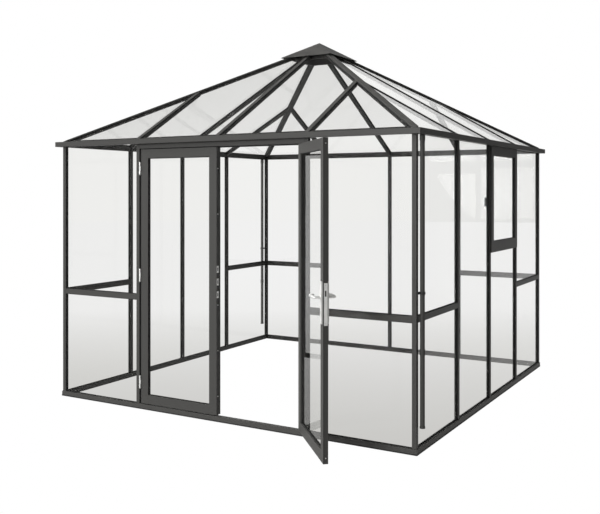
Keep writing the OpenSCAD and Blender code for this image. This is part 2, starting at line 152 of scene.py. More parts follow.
class GreenhouseSettings(bpy.types.PropertyGroup):
    """All settings of the greenhouse"""
    coat: PointerProperty(type=CoatSettings)
    glass: PointerProperty(type=GlassSettings)
    fittings: PointerProperty(type=FittingSettings)
    stage: PointerProperty(type=StageSettings)


def settings():
    """The greenhouse's settings in this scene."""
    return bpy.context.scene.greenhouse


# ---------------------------------------------------------------- shader groups

def new_group(name, inputs, outputs):
    """A shader group: inputs {name: number or colour}, outputs {name: socket type}."""
    tree = bpy.data.node_groups.new(name, "ShaderNodeTree")
    for label, value in inputs.items():
        kind = "NodeSocketFloat" if isinstance(value, float) else "NodeSocketColor"
        socket = tree.interface.new_socket(label, in_out="INPUT", socket_type=kind)
        socket.default_value = value if isinstance(value, float) else (*value, 1)
    for label, kind in outputs.items():
        tree.interface.new_socket(label, in_out="OUTPUT", socket_type=kind)
    tree.nodes.new("NodeGroupInput").name = "In"
    tree.nodes.new("NodeGroupOutput").name = "Out"
    return tree


def node(tree, kind, links=None, **values):
    """Adds a node, sets its properties and links {input: output socket or value}."""
    made = tree.nodes.new(kind)
    for name, value in values.items():
        setattr(made, name, value)
    for socket, source in (links or {}).items():
        if isinstance(source, bpy.types.NodeSocket):
            tree.links.new(source, made.inputs[socket])
        else:
            made.inputs[socket].default_value = source
    return made


def link(tree, target, sources):
    """Links {input: output socket} into a node that is there already."""
    for socket, source in sources.items():
        tree.links.new(source, target.inputs[socket])


def object_place(tree):
    """Where a point lies on the object, in metres."""
    return node(tree, "ShaderNodeTexCoord").outputs["Object"]


def noise(tree, place, scale, detail, roughness=0.5):
    """Soft noise, with scale cells to the metre."""
    return node(tree, "ShaderNodeTexNoise",
                {"Vector": place, "Scale": scale, "Detail": detail,
                 "Roughness": roughness}).outputs["Fac"]


def ranged(tree, value, low, high, to_low=0.0, to_high=1.0, **values):
    """Maps low to high onto to_low to to_high, and holds the ends."""
    return node(tree, "ShaderNodeMapRange",
                {"Value": value, "From Min": low, "From Max": high, "To Min": to_low,
                 "To Max": to_high}, **values).outputs[0]


def calc(tree, operation, a, b, **values):
    """The result of a Math node."""
    return node(tree, "ShaderNodeMath", {0: a, 1: b}, operation=operation,
                **values).outputs[0]


def number_mix(tree, factor, a, b):
    """The number a where the factor is 0 and b where it is 1."""
    return node(tree, "ShaderNodeMix", {0: factor, 2: a, 3: b}).outputs[0]


def two_tone(tree, mask, dark, light):
    """The colour dark where the mask is 0 and light where it is 1."""
    dark, light = (tone if isinstance(tone, bpy.types.NodeSocket) else (*tone, 1)
                   for tone in (dark, light))
    # a Mix node keeps its colour sockets after those for numbers and vectors
    return node(tree, "ShaderNodeMix", {0: mask, 6: dark, 7: light},
                data_type="RGBA").outputs[2]


def orange_peel_group():
    """Fine bumps and faint mottling of a sprayed coat."""
    tree = new_group("orange_peel", {"Size": 0.002, "Mottle": 0.3},
                     {"Height": "NodeSocketFloat", "Mask": "NodeSocketFloat"})
    given, out = tree.nodes["In"], tree.nodes["Out"]
    place = object_place(tree)
    per_metre = calc(tree, "DIVIDE", 1.0, given.outputs["Size"])
    bumps = noise(tree, place, per_metre, 2.0)
    cloud = noise(tree, place, 2.3, 4.0, 0.6)
    fine = noise(tree, place, 140.0, 3.0)
    link(tree, out, {"Height": bumps,
                     "Mask": number_mix(tree, given.outputs["Mottle"], cloud, fine)})
    return tree


def settled_dust_group():
    """Lighter where it faces up, as dust and painted light from above, and dust splashed near the ground."""
    tree = new_group("settled_dust", {"Amount": 0.3, "Splash Height": 0.2},
                     {"Mask": "NodeSocketFloat"})
    given, out = tree.nodes["In"], tree.nodes["Out"]
    place = object_place(tree)
    surface = node(tree, "ShaderNodeNewGeometry")
    facing = node(tree, "ShaderNodeSeparateXYZ", {0: surface.outputs["Normal"]})
    where = node(tree, "ShaderNodeSeparateXYZ", {0: place})
    # faces that point up get lighter: dust, and painted light from above
    flat = ranged(tree, facing.outputs["Z"], 0.55, 1.0)
    low = ranged(tree, where.outputs["Z"], given.outputs["Splash Height"], 0.0, to_high=0.2)
    patches = ranged(tree, noise(tree, place, 9.0, 6.0, 0.65), 0.35, 0.7)
    uneven = calc(tree, "MULTIPLY", calc(tree, "MAXIMUM", flat, low), patches)
    mask = calc(tree, "MULTIPLY", uneven, given.outputs["Amount"], use_clamp=True)
    link(tree, out, {"Mask": mask})
    return tree


def brushed_lines_group():
    """Fine lines left by brushing, running upright."""
    tree = new_group("brushed_lines", {"Lines": 1500.0},
                     {"Height": "NodeSocketFloat", "Mask": "NodeSocketFloat"})
    given, out = tree.nodes["In"], tree.nodes["Out"]
    place = object_place(tree)
    stretch = node(tree, "ShaderNodeMapping", {"Vector": place, "Scale": (1.0, 1.0, 0.02)})
    link(tree, out, {
        "Height": noise(tree, stretch.outputs[0], given.outputs["Lines"], 3.0, 0.6),
        "Mask": noise(tree, place, 30.0, 3.0)})
    return tree


GROUPS = {"orange_peel": orange_peel_group, "settled_dust": settled_dust_group,
          "brushed_lines": brushed_lines_group}


def group_node(tree, name, **values):
    """Places a shader group with its own values."""
    made = tree.nodes.new("ShaderNodeGroup")
    made.node_tree = bpy.data.node_groups.get(name) or GROUPS[name]()
    for label, value in values.items():
        made.inputs[label.replace("_", " ").title()].default_value = value
    return made


# ---------------------------------------------------------------- materials

def blank_material(name):
    """A new material, its node tree and its shader."""
    made = bpy.data.materials.new(name)
    made.use_nodes = True
    return made, made.node_tree, made.node_tree.nodes["Principled BSDF"]


def spread(tree, mask, low, high):
    """Maps the middle of a noise onto low to high."""
    return ranged(tree, mask, 0.3, 0.7, low, high)


def scaled(colour, by):
    """The colour, lighter or darker."""
    return tuple(min(1.0, c * by) for c in colour)


def dress(tree, shader, colour, rough, height=None, strength=0.0, depth=0.0002):
    """Feeds a shader its colour, its roughness and, where height is given, its bumps."""
    link(tree, shader, {"Base Color": colour, "Roughness": rough})
    if height:
        bump = node(tree, "ShaderNodeBump",
                    {"Strength": strength, "Distance": depth, "Height": height})
        link(tree, shader, {"Normal": bump.outputs[0]})


def mottled(name, group, tones, roughness, dust=None, bump=(None, 0.0002), by="Mask",
            **values):
    """A material between two tones of a group's mask: its roughness, its dust with painted top light, and its
    bumps.

    dust is (amount, splash height, colour), where the lighter tone on faces that point up is partly painted light
    from above, and bump is (strength, depth)."""
    made, tree, shader = blank_material(name)
    grain = group_node(tree, group, **values)
    mask = grain.outputs["Mask"]
    colour = two_tone(tree, spread(tree, mask, 0.0, 1.0), *tones)
    if dust:
        # the dust mask lightens faces that point up: dust, and painted light from above
        lies = group_node(tree, "settled_dust", amount=dust[0], splash_height=dust[1])
        colour = two_tone(tree, lies.outputs["Mask"], colour, dust[2])
    strength, depth = bump
    dress(tree, shader, colour, spread(tree, grain.outputs[by], *roughness),
          grain.outputs["Height"] if strength else None, strength or 0.0, depth)
    return made, shader


def powder_coat():
    """Anthracite powder coat with orange peel, faint mottling, a little dust and painted light on faces that point
    up.
    """
    s = settings().coat
    # the dust amount lightens faces that point up, as dust and as painted light from above
    made, shader = mottled(
        "powder_coat", "orange_peel", (scaled(s.colour, 0.93), scaled(s.colour, 1.07)),
        (s.roughness - 0.05, s.roughness + 0.07), dust=(0.4, 0.12, scaled(s.colour, 2.6)),
        bump=(0.12, 0.0004), size=s.grain, mottle=0.35)
    shader.inputs["Specular IOR Level"].default_value = 0.32
    return made


def clear_glass():
    """Toughened glass, darker near the ground as a painted reflection of the ground, which lets the lamps through.
    """
    s = settings().glass
    made, tree, shader = blank_material("clear_glass")
    place = object_place(tree)
    where = node(tree, "ShaderNodeSeparateXYZ", {0: place})
    # painted reflection: the glass darkens towards the ground, standing for the darker ground it mirrors
    low = ranged(tree, where.outputs["Z"], s.haze_height, 0.0,
                 interpolation_type="SMOOTHSTEP")
    ripple = node(tree, "ShaderNodeBump", {"Strength": 0.02, "Distance": 0.002,
                                           "Height": noise(tree, place, 3.5, 2.0)})
    link(tree, shader, {"Base Color": two_tone(tree, low, s.tint, s.haze),
                        "Normal": ripple.outputs[0]})
    shader.inputs["Transmission Weight"].default_value = 1.0
    shader.inputs["Roughness"].default_value = 0.0
    shader.inputs["IOR"].default_value = s.gloss
    rays = node(tree, "ShaderNodeLightPath")
    through = node(tree, "ShaderNodeBsdfTransparent", {0: (0.5, 0.5, 0.5, 1)})
    mix = node(tree, "ShaderNodeMixShader",
               {0: rays.outputs["Is Shadow Ray"], 1: shader.outputs[0],
                2: through.outputs[0]})
    link(tree, tree.nodes["Material Output"], {"Surface": mix.outputs[0]})
    return made


def satin_steel():
    """Brushed stainless steel of hinges, lock and lever."""
    s = settings().fittings
    made, shader = mottled(
        "satin_steel", "brushed_lines", (scaled(s.steel, 0.94), scaled(s.steel, 1.05)),
        (0.3, 0.44), bump=(0.08, 0.0002), by="Height", lines=1800.0)
    shader.inputs["Metallic"].default_value = 0.5
    return made


def zinc():
    """Bright zinc of the screws."""
    made, shader = mottled("zinc", "orange_peel", ((0.58, 0.58, 0.56), (0.74, 0.74, 0.73)),
                           (0.25, 0.42), size=0.0015, mottle=0.6)
    shader.inputs["Metallic"].default_value = 0.9
    return made


def black_plastic():
    """Moulded black plastic with a fine spark grain."""
    s = settings().fittings
    return mottled("black_plastic", "orange_peel",
                   (scaled(s.plastic, 0.8), scaled(s.plastic, 1.5)), (0.42, 0.58),
                   bump=(0.25, 0.0002), size=0.0009, mottle=0.5)[0]


def seal_rubber():
    """Matt black rubber of seals, with dust where it faces up and near the ground."""
    s = settings().fittings
    return mottled("seal_rubber", "orange_peel",
                   (scaled(s.plastic, 1.1), scaled(s.plastic, 2.2)), (0.68, 0.85),
                   dust=(0.3, 0.3, (0.09, 0.088, 0.08)), bump=(0.2, 0.0002), size=0.0012,
                   mottle=0.4)[0]


FINISHES = {"powder_coat": (powder_coat, "frame"), "clear_glass": (clear_glass, "glass"),
            "satin_steel": (satin_steel, "metal"), "zinc": (zinc, "metal"),
            "black_plastic": (black_plastic, "plastic"),
            "seal_rubber": (seal_rubber, "plastic")}


def finish(name):
    """The material of a finish, made once."""
    return bpy.data.materials.get(name) or FINISHES[name][0]()


# ---------------------------------------------------------------- mesh helpers

def house_piece(mesh, name, coat, body, *replaced):
    """Makes mesh a finished piece: name, finish, body and the CAD nodes it stands for."""
    piece = bpy.data.objects.new(name, mesh)
    bpy.context.scene.collection.objects.link(piece)
    mesh.materials.clear()
    mesh.materials.append(finish(coat))
    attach(piece, body)
    if replaced:
        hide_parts(*replaced)
    return piece


def merged(name):
    """A bmesh of a CAD node with its triangles joined into its real faces."""
    bm = bmesh.new()
    bm.from_mesh(NODES[name].data)
    bmesh.ops.remove_doubles(bm, verts=bm.verts, dist=1e-5)
    bmesh.ops.dissolve_limit(bm, angle_limit=math.radians(0.5), verts=bm.verts,
                             edges=bm.edges)
    return bm


def body_mesh(bm, name):
    """The mesh of a bmesh, which it ends."""
    mesh = bpy.data.meshes.new(name)
    bm.to_mesh(mesh)
    bm.free()
    return mesh


def islands(bm):
    """The faces of each solid in bm, in the mesh's own order."""
    found, seen = [], set()
    for first in bm.faces:
        if first in seen:
            continue
        seen.add(first)
        solid = [first]
        for face in solid:              # grows while it is read
            for edge in face.edges:
                for other in edge.link_faces:
                    if other not in seen:
                        seen.add(other)
                        solid.append(other)
        found.append(solid)
    return found


def evaluated(mesh, name, modify):
    """The mesh after the modifiers that modify(object) adds, as a plain mesh."""
    temp = bpy.data.objects.new(name, mesh)
    bpy.context.scene.collection.objects.link(temp)
    modify(temp)
    graph = bpy.context.evaluated_depsgraph_get()
    made = bpy.data.meshes.new_from_object(temp.evaluated_get(graph))
    temp.modifiers.clear()
    bpy.data.objects.remove(temp)
    made.name = name
    return made


def eased(name, radius):
    """A CAD node's mesh with its sharp edges rounded."""
    def bevel(temp):
        mod = temp.modifiers.new("edges", "BEVEL")
        mod.width = radius
        mod.segments = 2
        mod.limit_method = "ANGLE"
        mod.angle_limit = math.radians(38)
        mod.use_clamp_overlap = True
    mesh = evaluated(body_mesh(merged(name), name), name, bevel)
    mesh.shade_flat()
    return mesh


def round_angles(sides):
    """The angles of the corners of a regular outline."""
    return [math.tau * n / sides for n in range(sides)]


def bridged(bm, rings):
    """Joins rings of corners by faces and closes both ends."""
    for low, high in zip(rings, rings[1:]):
        for n in range(len(low)):
            m = (n + 1) % len(low)
            bm.faces.new((low[n], low[m], high[m], high[n]))
    bm.faces.new(reversed(rings[0]))
    bm.faces.new(rings[-1])
    bmesh.ops.recalc_face_normals(bm, faces=bm.faces)
    return bm


def turned(profile, sides=24):
    """A lathed bmesh from [(radius, height)], closed at both ends, round Z."""
    bm = bmesh.new()
    return bridged(bm, [[bm.verts.new((radius * math.cos(a), radius * math.sin(a), height))
                         for a in round_angles(sides)] for radius, height in profile])


def sleeve(inner, outer, tall):
    """A short tube with slightly rounded rims, standing on the origin."""
    ease = min(outer - inner, tall) * 0.25
    section = [(inner, 0), (outer - ease, 0), (outer, ease), (outer, tall - ease),
               (outer - ease, tall), (inner, tall)]
    bm = bmesh.new()
    turns = [[bm.verts.new((r * math.cos(a), r * math.sin(a), z)) for r, z in section]
             for a in round_angles(32)]
    for here, there in zip(turns, turns[1:] + turns[:1]):
        for n in range(len(section)):
            m = (n + 1) % len(section)
            bm.faces.new((here[n], there[n], there[m], here[m]))
    bmesh.ops.recalc_face_normals(bm, faces=bm.faces)
    return bm


def joined(parts, name):
    """One mesh from [(bmesh, matrix)]."""
    mesh = bpy.data.meshes.new(name)
    total = bmesh.new()
    for bm, matrix in parts:
        bm.transform(matrix)
        if matrix.determinant() < 0:
            bmesh.ops.reverse_faces(bm, faces=bm.faces)
        bm.to_mesh(mesh)
        total.from_mesh(mesh)
        bm.free()
    total.to_mesh(mesh)
    total.free()
    return mesh


def add_joined(name, parts, coat, body, *replaced):
    """Makes one piece of [(bmesh, matrix)]."""
    return house_piece(joined(parts, name), name, coat, body, *replaced)


def block(low, high, radius=0.0):
    """A box bmesh between two corners, its edges rounded."""
    bm = bmesh.new()
    low, high = Vector(low), Vector(high)
    size = high - low
    bmesh.ops.create_cube(bm, size=1)
    bm.transform(Matrix.Translation((low + high) / 2) @ Matrix.Diagonal((*size, 1)))
    if radius:
        bmesh.ops.bevel(bm, geom=bm.edges, offset=radius, segments=2, profile=0.5,
                        affect="EDGES", clamp_overlap=True)
    return bm


def rod(points, radius, sides=16, steps=5):
    """A round bar along points, which ends in half balls of so many steps."""
    points = [Vector(p) for p in points]
    first = (points[1] - points[0]).normalized()
    last = (points[-1] - points[-2]).normalized()
    tip = radius * 0.05
    turn = math.pi / 2 / steps
    stations = [(points[0] - first * radius * math.cos(turn * n), first,
                 max(radius * math.sin(turn * n), tip)) for n in range(steps)]
    for n, point in enumerate(points):
        ahead = points[min(n + 1, len(points) - 1)] - points[max(n - 1, 0)]
        stations.append((point, ahead.normalized(), radius))
    stations += [(points[-1] + last * radius * math.sin(turn * n), last,
                  max(radius * math.cos(turn * n), tip)) for n in range(1, steps + 1)]
    bm = bmesh.new()
    side = first.orthogonal().normalized()
    rings = []
    for centre, ahead, r in stations:
        side = (side - ahead * side.dot(ahead)).normalized()
        other = ahead.cross(side)
        rings.append([bm.verts.new(centre + r * (math.cos(a) * side + math.sin(a) * other))
                      for a in round_angles(sides)])
    bridged(bm, rings)
    for face in bm.faces:
        face.smooth = len(face.verts) == 4
    return bm


def bend(start, corner, end, radius, steps=8):
    """Points from start to end, rounded at the corner."""
    start, corner, end = Vector(start), Vector(corner), Vector(end)
    into = (start - corner).normalized()
    out = (end - corner).normalized()
    angle = into.angle(out)
    run = radius / math.tan(angle / 2)
    centre = corner + (into + out).normalized() * radius / math.sin(angle / 2)
    a, b = corner + into * run - centre, corner + out * run - centre
    sweep = a.angle(b)
    arc = [centre + (a * math.sin(sweep * (1 - n / steps)) + b * math.sin(sweep * n / steps))
           / math.sin(sweep) for n in range(steps + 1)]
    return [start, *arc, end]


# ---------------------------------------------------------------- geometry node trees

def new_tree(name, inputs):
    """A geometry tree with a Geometry input and output, named inputs and a Material."""
    tree = bpy.data.node_groups.new(name, "GeometryNodeTree")
    tree.interface.new_socket("Geometry", in_out="INPUT", socket_type="NodeSocketGeometry")
    for label, (kind, value) in inputs.items():
        socket = tree.interface.new_socket(label, in_out="INPUT",
                                           socket_type="NodeSocket" + kind)
        socket.default_value = value
    tree.interface.new_socket("Material", in_out="INPUT", socket_type="NodeSocketMaterial")
    tree.interface.new_socket("Geometry", in_out="OUTPUT", socket_type="NodeSocketGeometry")
    given = tree.nodes.new("NodeGroupInput")
    out = tree.nodes.new("NodeGroupOutput")
    return tree, given, out


def close_tree(tree, given, out, geometry):
    """Ends a tree: its instances made real, in the given material."""
    real = node(tree, "GeometryNodeRealizeInstances", {"Geometry": geometry})
    dressed = node(tree, "GeometryNodeSetMaterial",
                   {"Geometry": real.outputs[0], "Material": given.outputs["Material"]})
    tree.links.new(dressed.outputs[0], out.inputs[0])
    return tree


def facing_instances(tree, given, shape, axis="Z"):
    """Puts shape on the points, its axis along their facing attribute."""
    facing = node(tree, "GeometryNodeInputNamedAttribute", {"Name": "facing"},
                  data_type="FLOAT_VECTOR")
    turn = node(tree, "FunctionNodeAlignRotationToVector",
                {"Vector": facing.outputs["Attribute"]}, axis=axis)
    return node(tree, "GeometryNodeInstanceOnPoints",
                {"Points": given.outputs["Geometry"], "Instance": shape,
                 "Rotation": turn.outputs[0]}).outputs[0]


def screw_head_tree():
    """Pan heads with a hexagon socket on points."""
    tree, given, out = new_tree("screw_heads", {
        "Head Radius": ("Float", 0.0045), "Head Height": ("Float", 0.0025),
        "Socket Radius": ("Float", 0.002)})
    crown = node(tree, "ShaderNodeMath", {0: given.outputs["Head Radius"], 1: 0.7},
                 operation="MULTIPLY")
    head = node(tree, "GeometryNodeMeshCone",
                {"Vertices": 16, "Radius Top": crown.outputs[0],
                 "Radius Bottom": given.outputs["Head Radius"],
                 "Depth": given.outputs["Head Height"]})
    hexagon = node(tree, "GeometryNodeMeshCylinder",
                   {"Vertices": 6, "Radius": given.outputs["Socket Radius"],
                    "Depth": given.outputs["Head Height"]})
    lift = node(tree, "ShaderNodeCombineXYZ", {"Z": given.outputs["Head Height"]})
    raised = node(tree, "GeometryNodeTransform",
                  {"Geometry": hexagon.outputs["Mesh"], "Translation": lift.outputs[0]})
    cut = node(tree, "GeometryNodeMeshBoolean",
               {0: head.outputs["Mesh"], 1: raised.outputs[0]}, operation="DIFFERENCE",
               solver="EXACT")
    placed = facing_instances(tree, given, cut.outputs[0])
    return close_tree(tree, given, out, placed)


def swept_bead_tree():
    """A round bead along every edge of the input."""
    tree, given, out = new_tree("swept_beads", {
        "Bead Radius": ("Float", 0.003), "Sides": ("Int", 8)})
    path = node(tree, "GeometryNodeMeshToCurve", {"Mesh": given.outputs["Geometry"]})
    circle = node(tree, "GeometryNodeCurvePrimitiveCircle",
                  {"Resolution": given.outputs["Sides"],
                   "Radius": given.outputs["Bead Radius"]})
    tube = node(tree, "GeometryNodeCurveToMesh",
                {"Curve": path.outputs[0], "Profile Curve": circle.outputs[0],
                 "Fill Caps": True})
    return close_tree(tree, given, out, tube.outputs[0])


def strap_tree():
    """Flat straps on points, their length along the facing attribute."""
    tree, given, out = new_tree("straps", {
        "Width": ("Float", 0.02), "Length": ("Float", 0.035), "Thickness": ("Float", 0.002)})
    size = node(tree, "ShaderNodeCombineXYZ",
                {"X": given.outputs["Width"], "Y": given.outputs["Length"],
                 "Z": given.outputs["Thickness"]})
    plate = node(tree, "GeometryNodeMeshCube", {"Size": size.outputs[0]})
    placed = facing_instances(tree, given, plate.outputs[0], axis="Y")
    return close_tree(tree, given, out, placed)


TREES = {"screw_heads": screw_head_tree, "swept_beads": swept_bead_tree, "straps": strap_tree}


def grown(tree_name, mesh, name, coat, **inputs):
    """The mesh that a geometry tree makes from mesh, with its named inputs set."""
    tree = bpy.data.node_groups.get(tree_name) or TREES[tree_name]()
    sockets = {item.name: item.identifier for item in tree.interface.items_tree
               if item.in_out == "INPUT"}

    def grow(temp):
        mod = temp.modifiers.new("grow", "NODES")
        mod.node_group = tree
        mod[sockets["Material"]] = finish(coat)
        for label, value in inputs.items():
            mod[sockets[label.replace("_", " ").title()]] = value
    return evaluated(mesh, name, grow)


def point_mesh(spots):
    """A mesh of points from [(place, facing)]."""
    mesh = bpy.data.meshes.new("points")
    mesh.from_pydata([place for place, _ in spots], [], [])
    facing = mesh.attributes.new("facing", "FLOAT_VECTOR", "POINT")
    for n, (_, way) in enumerate(spots):
        facing.data[n].vector = way
    return mesh


def loop_mesh(loops, closed=True):
    """A mesh of edges from lists of points."""
    verts, edges = [], []
    for loop in loops:
        first = len(verts)
        verts += loop
        edges += [(first + n, first + n + 1) for n in range(len(loop) - 1)]
        if closed:
            edges.append((len(verts) - 1, first))
    mesh = bpy.data.meshes.new("loops")
    mesh.from_pydata(verts, edges, [])
    return mesh


def add_screws(name, spots, body, radius=None):
    """Makes a piece of the screw heads at [(place, facing)]."""
    radius = radius or settings().fittings.screw
    mesh = grown("screw_heads", point_mesh(spots), name, "zinc", head_radius=radius,
                 head_height=radius * 0.55, socket_radius=radius * 0.45)
    return house_piece(mesh, name, "zinc", body)


def add_beads(name, loops, body, coat="seal_rubber", radius=None, closed=True):
    """Makes a piece of the beads along lists of points."""
    radius = radius or settings().glass.bead
    mesh = grown("swept_beads", loop_mesh(loops, closed), name, coat, bead_radius=radius)
    mesh.shade_smooth()
    return house_piece(mesh, name, coat, body)


# ---------------------------------------------------------------- places taken from the frame

def around(k):
    """Turns what is drawn round the middle of the plan for the front wall to wall k."""
    return Matrix.Translation(MIDDLE) @ Matrix.Rotation(math.pi / 2 * k, 4, "Z")


def from_middle(name):
    """A front node's box, measured from the middle of the plan."""
    low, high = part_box(name)
    return low - MIDDLE, high - MIDDLE


def solid_boxes(name, matrix=None):
    """The box of each solid of a node, after a turn."""
    bm = merged(name)
    if matrix:
        bm.transform(matrix)
    boxes = []
    for island in islands(bm):
        corners = [v.co for face in island for v in face.verts]
        boxes.append((Vector(map(min, zip(*corners))), Vector(map(max, zip(*corners)))))
    bm.free()
    return sorted(boxes, key=lambda box: (round(box[0].x, 3), round(box[0].z, 3)))


def box_of(boxes):
    """The box round several boxes."""
    return (Vector(map(min, zip(*[low for low, _ in boxes]))),
            Vector(map(max, zip(*[high for _, high in boxes]))))


def leaf_turn():
    """Turns what is drawn for the closed right leaf to where that leaf stands."""
    hinge = JOINTS["right_door"]
    opened = -math.radians(hinge["range_deg"][0])
    at = Matrix.Translation(Vector(hinge["pos_m"]))
    return at @ Matrix.Rotation(opened, 4, "Z") @ at.inverted()


def leaf_sides():
    """(body, matrix) of each leaf, for what is drawn for the closed right leaf."""
    mirror = Matrix.Diagonal((-1, 1, 1, 1))
    return {"left_leaf": mirror, "right_leaf": leaf_turn()}


def closed_leaf():
    """Corners of the right leaf, closed."""
    low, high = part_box("left_leaf_stiles")
    return Vector((-high.x, low.y, low.z)), Vector((-low.x, high.y, high.z))


def moved(matrix, spots):
    """The same [(place, facing)] after a turn."""
    turn = matrix.to_3x3()
    return [(matrix @ Vector(place), turn @ Vector(way)) for place, way in spots]


def big_face_loops(name, inward, out):
    """Outlines of both sides of every pane of a node, moved inward and off the glass."""
    bm = merged(name)
    loops = []
    for island in islands(bm):
        for face in sorted(island, key=lambda face: face.calc_area())[-2:]:
            normal = face.normal.copy()
            corners = [v.co.copy() for v in face.verts]
            loop = []
            for n, corner in enumerate(corners):
                before = (corner - corners[n - 1]).normalized()
                after = (corners[(n + 1) % len(corners)] - corner).normalized()
                left, right = normal.cross(before), normal.cross(after)
                half = (left + right) / (1 + left.dot(right))
                loop.append(corner + half * inward + normal * out)
            loops.append(loop)
    bm.free()
    return loops


# ---------------------------------------------------------------- operators

class GREENHOUSE_OT_coated_profiles(bpy.types.Operator):
    """Rounds the edges of the coated profiles and gives every part its finish"""
    bl_idname = "greenhouse.coated_profiles"
    bl_label = "Coated profiles"

    ROUNDED = ("front_back_sills", "side_sills", "corner_posts", "wall_posts", "door_posts",
               "door_jambs", "door_header", "mid_rails", "front_back_gutters", "side_gutters",
               "roof_cap", "window_transom", "window_sash", "left_leaf_stiles",
               "left_leaf_rails", "left_leaf_strip", "right_leaf_stiles", "right_leaf_rails",
               "centre_rafters", "jack_rafters", "hip_rafters", "pipe_clips",
               "window_handle", "right_leaf_lock", "left_leaf_strikes")
    COATS = {"frame": "powder_coat", "glass": "clear_glass", "metal": "satin_steel",
             "plastic": "black_plastic"}
    SHARPER = 0.6               # edges of steel and plastic, as a share of the coated ones

    def execute(self, context):
        record = frame["record"]
        slots = {part["node"]: part["material_slot"] for part in record["subparts"]}
        body_of = {name: body for body, names in record["behaviour"]["bodies"].items()
                   for name in names}
        edge = settings().coat.edge
        for name, part in NODES.items():
            coat = self.COATS[slots[name]]
            if name in self.ROUNDED:
                radius = edge if coat == "powder_coat" else edge * self.SHARPER
                house_piece(eased(name, radius), name + "_eased", coat, body_of[name], name)
            else:
                part.data.materials.clear()
                part.data.materials.append(finish(coat))
        return {"FINISHED"}


class GREENHOUSE_OT_glazing_seals(bpy.types.Operator):
    """Runs a rubber seal round both sides of every pane"""
    bl_idname = "greenhouse.glazing_seals"
    bl_label = "Glazing seals"

    INWARD, OUT = 0.8, 0.5      # a bead's middle from the pane's edge and face, in radii
    SEALS = {
        "wall_seals": ("house", ("front_wall_glass", "right_wall_glass", "back_wall_glass",
                                 "left_wall_glass")),
        "roof_seals": ("house", ("front_roof_glass", "right_roof_glass", "back_roof_glass",
                                 "left_roof_glass")),
        "window_seals": ("house", ("window_glass",)),
        "left_leaf_seals": ("left_leaf", ("left_leaf_glass",)),
        "right_leaf_seals": ("right_leaf", ("right_leaf_glass",)),
    }

    def execute(self, context):
        r = settings().glass.bead
        for name, (body, glass) in self.SEALS.items():
            loops = [loop for pane in glass
                     for loop in big_face_loops(pane, r * self.INWARD, r * self.OUT)]
            add_beads(name, loops, body)
        return {"FINISHED"}


class GREENHOUSE_OT_gutter_fittings(bpy.types.Operator):
    """Adds the gutters' rolled lips and straps, and the sockets of the downpipes"""
    bl_idname = "greenhouse.gutter_fittings"
    bl_label = "Gutter fittings"

    ROLL = 0.0025               # radius of the rolled lip
    STRAP, SHEET = 0.018, 0.002     # width and thickness of a strap
    STRAP_SHORT = 0.004         # how much shorter a strap is than the gutter is wide
    STRAPS_OVER = 0.92          # share of a wall that the row of straps takes up
    SCREW, SCREW_OUT = 0.003, 0.006     # head radius, and distance from the beam
    SOCKET, FOOT = 0.035, 0.012     # heights of a pipe's sockets and of the ring at its foot
    SOCKET_DOWN, JOINT_UP = 0.004, 0.45     # sockets from the pipe's head and foot
    PLAY, WALL = 0.0002, 0.002  # a socket's clearance and wall

    def execute(self, context):
        high = from_middle("front_back_gutters")[1]
        beam = from_middle("front_back_eave_beams")[1].y
        reach, top = high.y - self.ROLL, high.z - self.ROLL * 0.6
        corners = [MIDDLE + Vector((x * reach, y * reach, top))
                   for x, y in ((-1, -1), (1, -1), (1, 1), (-1, 1))]
        add_beads("gutter_lips", [corners], "house", "powder_coat", self.ROLL)
        self.add_straps(beam, high.y, high.z)
        self.add_sockets()
        return {"FINISHED"}

    def add_straps(self, inner, outer, top):
        """Straps from the beams to the lips, with a screw each."""
        count = settings().fittings.straps
        spots, heads = [], []
        for k in range(4):
            for n in range(count):
                x = inner * self.STRAPS_OVER * (2 * n / (count - 1) - 1)
                place = Vector((x, -(inner + outer) / 2, top - self.SHEET))
                head = Vector((x, -inner - self.SCREW_OUT, top - self.SHEET / 2))
                spots += moved(around(k), [(place, (0, -1, 0))])
                heads += moved(around(k), [(head, (0, 0, 1))])
        mesh = grown("straps", point_mesh(spots), "gutter_straps", "powder_coat",
                     width=self.STRAP, length=outer - inner - self.STRAP_SHORT,
                     thickness=self.SHEET)
        house_piece(mesh, "gutter_straps", "powder_coat", "house")
        add_screws("strap_screws", heads, "house", radius=self.SCREW)

    def add_sockets(self):
        """Sockets at the head and the joint of each downpipe, and a ring at its foot."""
        parts = []
        for low, high in solid_boxes("downpipes"):
            radius = (high.x - low.x) / 2 + self.PLAY
            axis = (low + high) / 2
            for z, tall in ((high.z - self.SOCKET - self.SOCKET_DOWN, self.SOCKET),
                            (low.z + self.JOINT_UP, self.SOCKET), (low.z, self.FOOT)):
                parts.append((sleeve(radius, radius + self.WALL, tall),
                              Matrix.Translation((axis.x, axis.y, z))))
        add_joined("pipe_sockets", parts, "powder_coat", "house")


